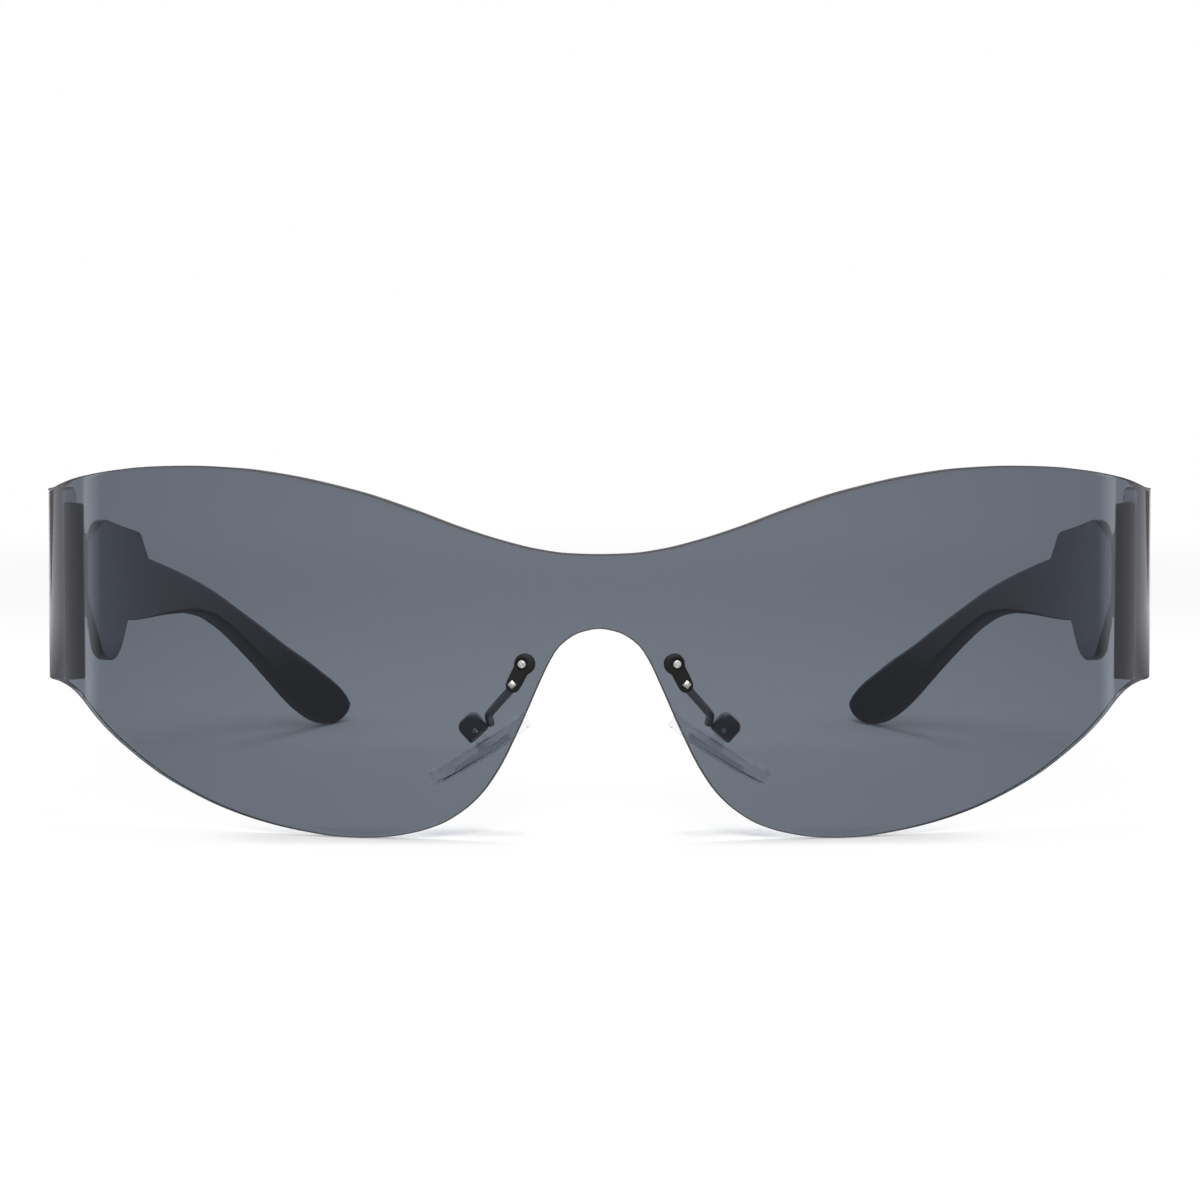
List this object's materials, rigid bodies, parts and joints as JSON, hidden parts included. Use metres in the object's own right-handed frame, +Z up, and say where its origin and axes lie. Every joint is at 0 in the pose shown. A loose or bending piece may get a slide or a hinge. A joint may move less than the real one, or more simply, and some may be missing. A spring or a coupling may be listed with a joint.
{
  "type": "sports sunglasses",
  "caption": "Rimless wrap-around shield sunglasses: a smoke-tinted one-piece lens, folding black temples and clear rocking nose pads on wire arms.",
  "frame": {"origin": "middle of the bounding box, on the ground that the lens's two lobes and the temple tips rest on", "axes": "+Z up, -Y the way the lens faces, +Y back along the temples, +X the wearer's left"},
  "size_m": [0.1494, 0.1577, 0.0476],
  "materials": {
    "smoke_lens": "clear smoke-grey moulded sheet, polished",
    "black_plastic": "black, satin gloss",
    "washer_black": "black, low gloss",
    "gunmetal": "black-plated wire and box",
    "steel": "bright turned steel",
    "clear_silicone": "clear, soft gloss",
    "clear_core": "clear hard plastic"
  },
  "bodies": {
    "front": {"shield_lens": "smoke_lens", "endpiece_left": "black_plastic", "endpiece_right": "black_plastic", "hinge_screw_left": "steel", "hinge_screw_right": "steel", "pad_washer_left": "washer_black", "pad_washer_right": "washer_black", "lens_screw_left": "steel", "lens_screw_right": "steel", "lens_pin_left": "steel", "lens_pin_right": "steel", "pad_arm_left": "gunmetal", "pad_arm_right": "gunmetal", "pad_screw_left": "steel", "pad_screw_right": "steel"},
    "temple_left": {"temple_left": "black_plastic"},
    "nose_pad_left": {"nose_pad_left": "clear_silicone", "pad_core_left": "clear_core"},
    "temple_right": {"temple_right": "black_plastic"},
    "nose_pad_right": {"nose_pad_right": "clear_silicone", "pad_core_right": "clear_core"}
  },
  "joints": [
    {"name": "temple_fold_left", "type": "hinge", "parent": "front", "child": "temple_left", "pos_m": [0.0716, -0.03956, 0.03185], "axis": [0, 0, 1], "range_deg": [0, 86]},
    {"name": "pad_rock_left", "type": "hinge", "parent": "front", "child": "nose_pad_left", "pos_m": [0.0161, -0.06643, 0.0133], "axis": [0, 1, 0], "range_deg": [0, 20]},
    {"name": "temple_fold_right", "type": "hinge", "parent": "front", "child": "temple_right", "pos_m": [-0.0716, -0.03956, 0.03185], "axis": [0, 0, -1], "range_deg": [0, 80]},
    {"name": "pad_rock_right", "type": "hinge", "parent": "front", "child": "nose_pad_right", "pos_m": [-0.0161, -0.06643, 0.0133], "axis": [0, -1, 0], "range_deg": [0, 20]}
  ]
}
